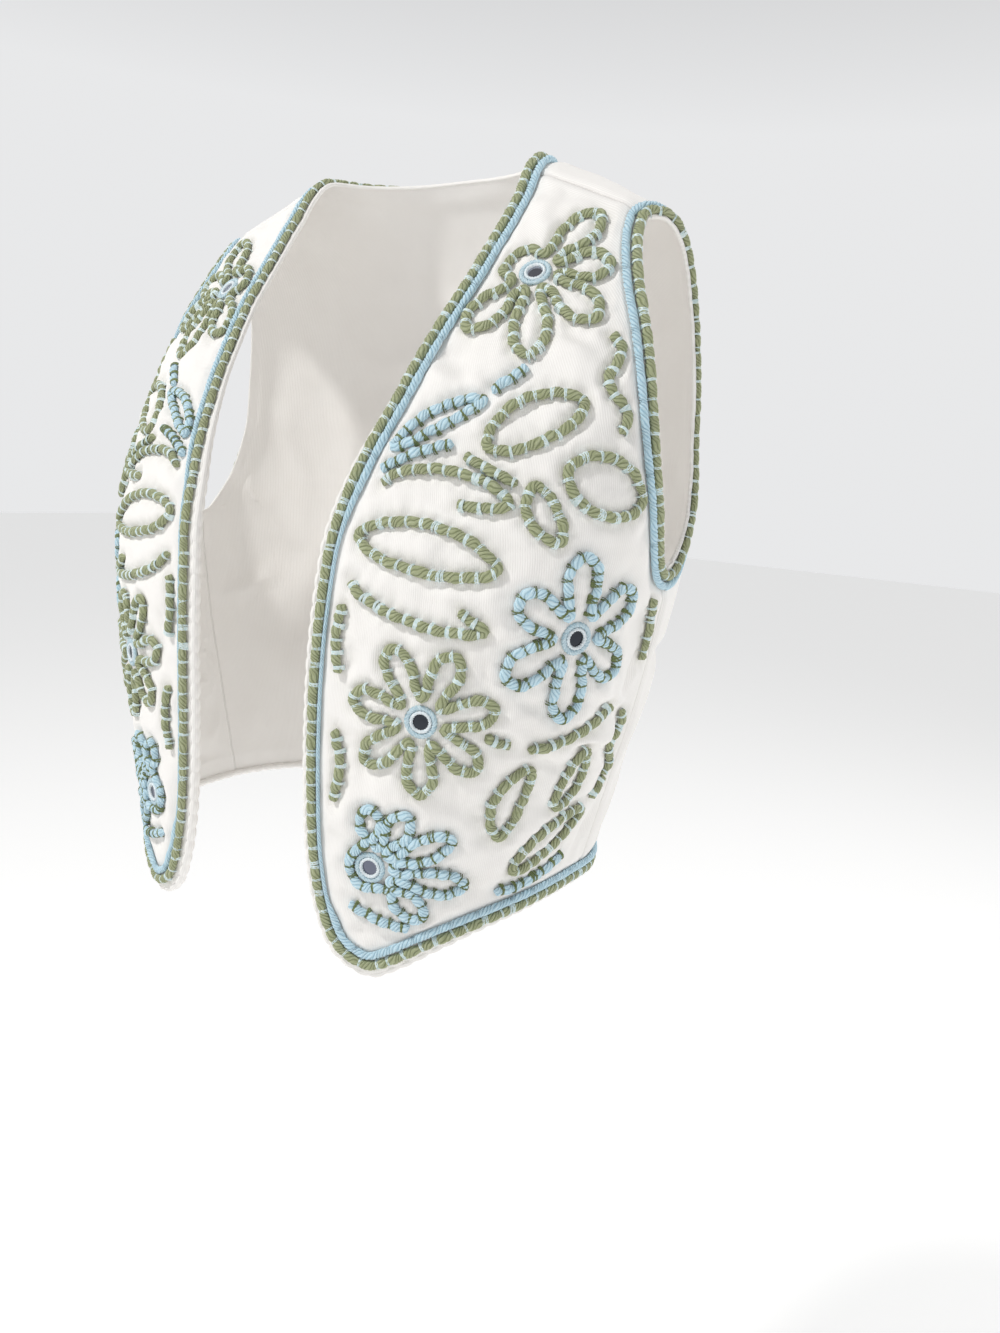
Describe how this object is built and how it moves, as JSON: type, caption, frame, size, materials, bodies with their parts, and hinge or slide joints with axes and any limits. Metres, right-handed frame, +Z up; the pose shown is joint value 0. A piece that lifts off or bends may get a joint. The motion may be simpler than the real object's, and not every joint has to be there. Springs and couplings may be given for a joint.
{
  "type": "embroidered vest",
  "caption": "Open-fronted sleeveless cotton vest with pointed fronts, couched yarn cord flowers and leaves, small mirrors, and paired cord edging.",
  "frame": {"origin": "midway between the two neck points, where the shoulder seams meet the neck edge", "axes": "+Z up, the wearer faces -Y, and +X is the wearer's left"},
  "size_m": [0.4482, 0.2607, 0.5244],
  "materials": {
    "cotton": "matt cream cotton with a fine upright rib, slightly puckered",
    "green_yarn": "matt sage green twisted yarn with pale blue stitches across it",
    "blue_yarn": "matt pale blue twisted yarn with green stitches across it",
    "mirror_glass": "small round mirror that reflects dark surroundings",
    "pale_thread": "satin stitched ring of white and pale blue thread"
  },
  "bodies": {
    "root": {"front_left": "cotton", "front_right": "cotton", "back": "cotton", "edge_cord_green": "green_yarn", "edge_cord_blue": "blue_yarn", "armhole_cord_green_left": "green_yarn", "armhole_cord_blue_left": "blue_yarn", "flower_1_left": "green_yarn", "mirror_1_left": "mirror_glass", "mirror_ring_1_left": "pale_thread", "flower_2_left": "blue_yarn", "mirror_2_left": "mirror_glass", "mirror_ring_2_left": "pale_thread", "flower_3_left": "green_yarn", "mirror_3_left": "mirror_glass", "mirror_ring_3_left": "pale_thread", "flower_4_left": "blue_yarn", "mirror_4_left": "mirror_glass", "mirror_ring_4_left": "pale_thread", "leaf_1_left": "blue_yarn", "leaf_2_left": "green_yarn", "leaf_3_left": "green_yarn", "leaf_4_left": "green_yarn", "leaf_5_left": "green_yarn", "leaf_6_left": "green_yarn", "leaf_7_left": "green_yarn", "leaf_8_left": "green_yarn", "leaf_9_left": "green_yarn", "leaf_10_left": "green_yarn", "stem_1_left": "green_yarn", "stem_2_left": "green_yarn", "stem_3_left": "green_yarn", "armhole_cord_green_right": "green_yarn", "armhole_cord_blue_right": "blue_yarn", "flower_1_right": "green_yarn", "mirror_1_right": "mirror_glass", "mirror_ring_1_right": "pale_thread", "flower_2_right": "blue_yarn", "mirror_2_right": "mirror_glass", "mirror_ring_2_right": "pale_thread", "flower_3_right": "green_yarn", "mirror_3_right": "mirror_glass", "mirror_ring_3_right": "pale_thread", "flower_4_right": "blue_yarn", "mirror_4_right": "mirror_glass", "mirror_ring_4_right": "pale_thread", "leaf_1_right": "blue_yarn", "leaf_2_right": "green_yarn", "leaf_3_right": "green_yarn", "leaf_4_right": "green_yarn", "leaf_5_right": "green_yarn", "leaf_6_right": "green_yarn", "leaf_7_right": "green_yarn", "leaf_8_right": "green_yarn", "leaf_9_right": "green_yarn", "leaf_10_right": "green_yarn", "stem_1_right": "green_yarn", "stem_2_right": "green_yarn", "stem_3_right": "green_yarn"}
  },
  "joints": []
}
